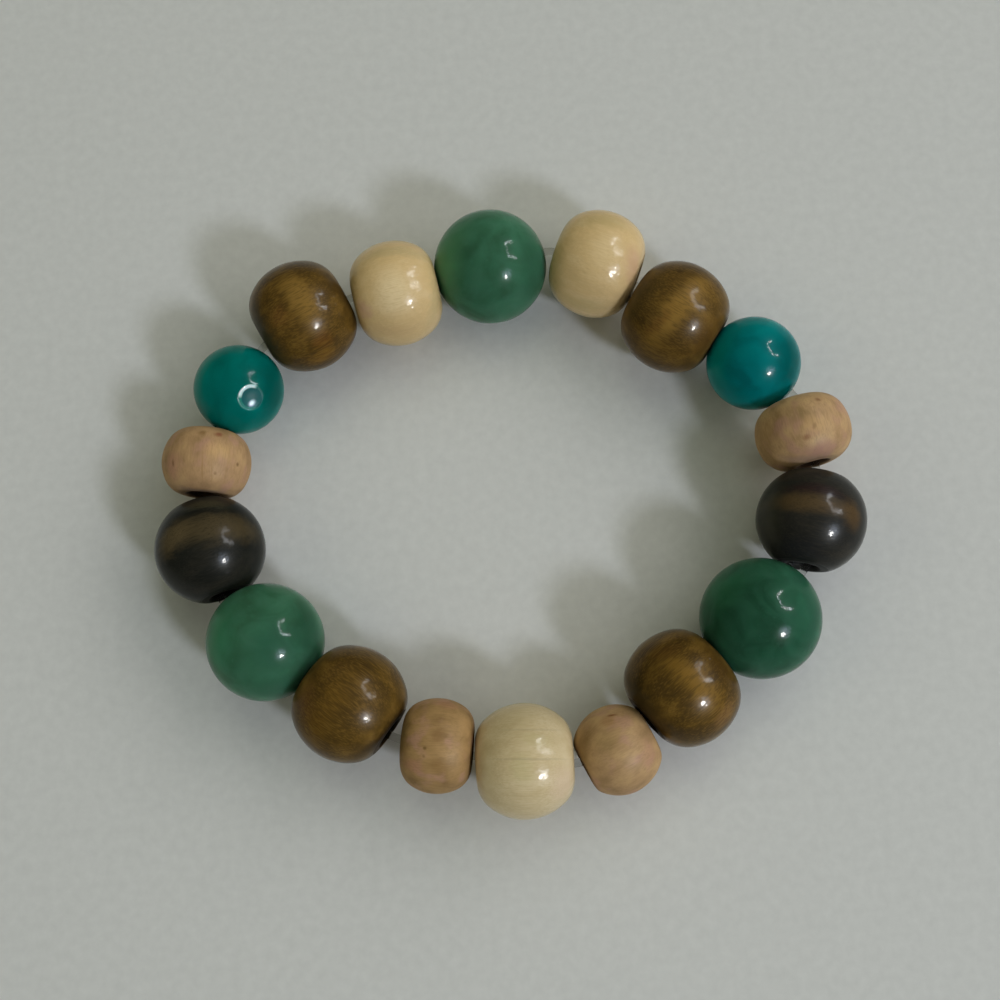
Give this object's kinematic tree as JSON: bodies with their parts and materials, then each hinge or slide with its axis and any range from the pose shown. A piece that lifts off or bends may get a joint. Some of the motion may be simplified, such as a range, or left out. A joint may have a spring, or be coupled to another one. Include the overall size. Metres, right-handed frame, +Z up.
{
  "type": "beaded bracelet",
  "caption": "Stretch bracelet of round green and teal stone beads and turned wood beads in mixed browns, strung on a closed elastic thread, lying flat.",
  "frame": {"origin": "middle of the bracelet's box, on the surface that it lies on", "axes": "+Z up, the axis of the wrist opening; +X along the loop's long way, to the right as the picture shows it; +Y to the green bead at the top"},
  "size_m": [0.0736, 0.0644, 0.0123],
  "materials": {
    "green_stone": "polished, milky green",
    "teal_stone": "polished, deep teal",
    "brown_wood": "stained and lacquered, golden streaks",
    "dark_wood": "dark stained and lacquered, brown band",
    "ivory_wood": "pale, lacquered, fine grain lines",
    "tan_wood": "satin, short dark flecks along the grain",
    "elastic": "clear elastic"
  },
  "bodies": {
    "root": {"green_bead_top": "green_stone", "ivory_bead_top_right": "ivory_wood", "brown_bead_top_right": "brown_wood", "teal_bead_right": "teal_stone", "tan_bead_right": "tan_wood", "dark_bead_right": "dark_wood", "green_bead_low_right": "green_stone", "brown_bead_low_right": "brown_wood", "tan_bead_low_right": "tan_wood", "ivory_bead_bottom": "ivory_wood", "tan_bead_low_left": "tan_wood", "brown_bead_low_left": "brown_wood", "green_bead_low_left": "green_stone", "dark_bead_left": "dark_wood", "tan_bead_left": "tan_wood", "teal_bead_left": "teal_stone", "brown_bead_top_left": "brown_wood", "ivory_bead_top_left": "ivory_wood", "elastic_thread": "elastic"}
  },
  "joints": []
}
